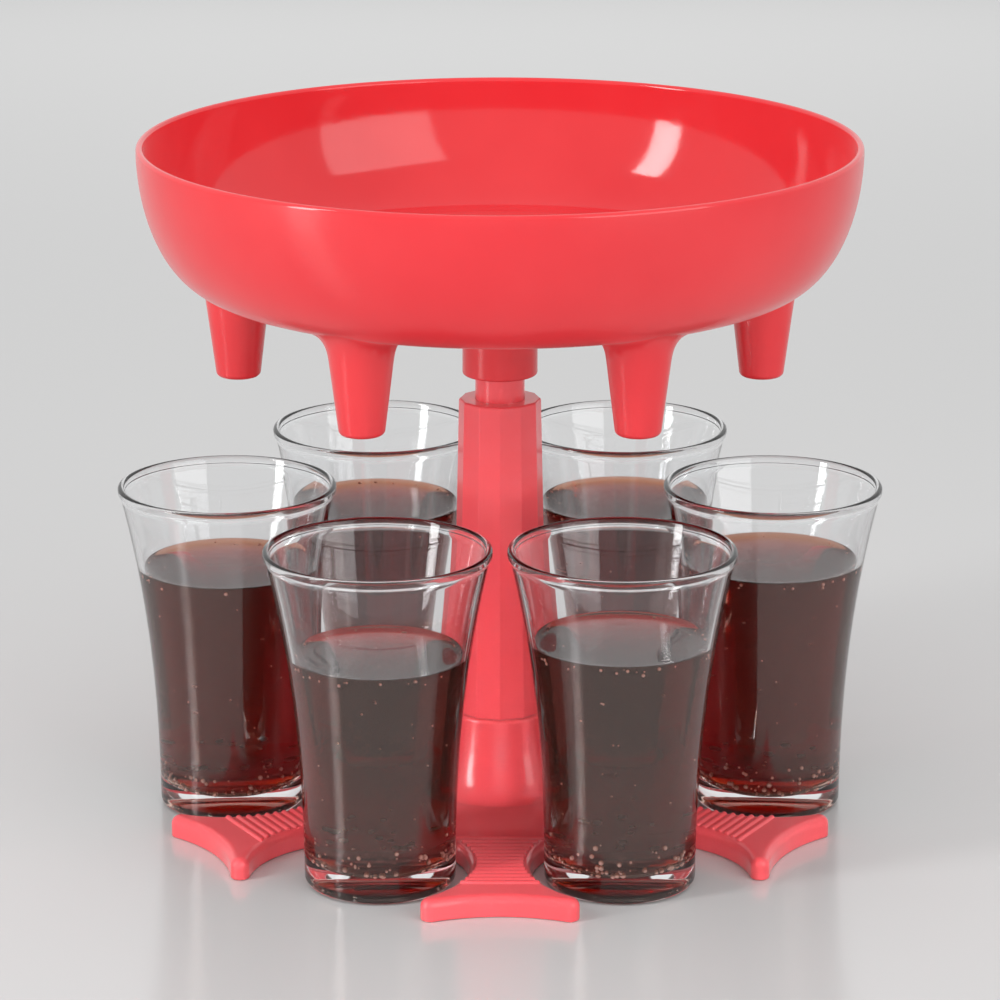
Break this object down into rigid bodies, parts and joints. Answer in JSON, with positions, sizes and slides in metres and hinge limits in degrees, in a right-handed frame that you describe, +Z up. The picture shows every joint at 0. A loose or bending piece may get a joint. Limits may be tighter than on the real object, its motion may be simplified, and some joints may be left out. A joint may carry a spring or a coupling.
{
  "type": "party shot dispenser",
  "caption": "Shallow round bowl on a faceted column whose tapering spouts pour drink into clear flared cups standing in the bays of a ribbed star base.",
  "frame": {"origin": "centre of the base's underside, on the table", "axes": "+Z up along the column, -Y towards the front, where an arm points between two cups"},
  "size_m": [0.1677, 0.156, 0.15],
  "materials": {
    "bowl_plastic": "glossy moulded plastic, coral red",
    "stand_plastic": "glossy moulded plastic, coral red",
    "cup_clear": "clear and smooth, with a thick bottom"
  },
  "bodies": {
    "stand": {"base": "stand_plastic", "column": "stand_plastic"},
    "plug": {"neck_plug": "stand_plastic"},
    "bowl": {"bowl": "bowl_plastic"},
    "cup_1": {"cup_1": "cup_clear"},
    "cup_2": {"cup_2": "cup_clear"},
    "cup_3": {"cup_3": "cup_clear"},
    "cup_4": {"cup_4": "cup_clear"},
    "cup_5": {"cup_5": "cup_clear"},
    "cup_6": {"cup_6": "cup_clear"}
  },
  "joints": [
    {"name": "plug_lift", "type": "slide", "parent": "stand", "child": "plug", "axis": [0, 0, 1], "range_m": [0, 0.045]},
    {"name": "bowl_turn", "type": "hinge", "parent": "plug", "child": "bowl", "pos_m": [0, 0, 0.1195], "axis": [0, 0, 1], "continuous": true},
    {"name": "cup_1_draw", "type": "slide", "parent": "stand", "child": "cup_1", "axis": [-0.5, -0.866, 0], "range_m": [0, 0.065]},
    {"name": "cup_2_draw", "type": "slide", "parent": "stand", "child": "cup_2", "axis": [0.5, -0.866, 0], "range_m": [0, 0.065]},
    {"name": "cup_3_draw", "type": "slide", "parent": "stand", "child": "cup_3", "axis": [1, 0, 0], "range_m": [0, 0.065]},
    {"name": "cup_4_draw", "type": "slide", "parent": "stand", "child": "cup_4", "axis": [0.5, 0.866, 0], "range_m": [0, 0.065]},
    {"name": "cup_5_draw", "type": "slide", "parent": "stand", "child": "cup_5", "axis": [-0.5, 0.866, 0], "range_m": [0, 0.065]},
    {"name": "cup_6_draw", "type": "slide", "parent": "stand", "child": "cup_6", "axis": [-1, 0, 0], "range_m": [0, 0.065]}
  ]
}
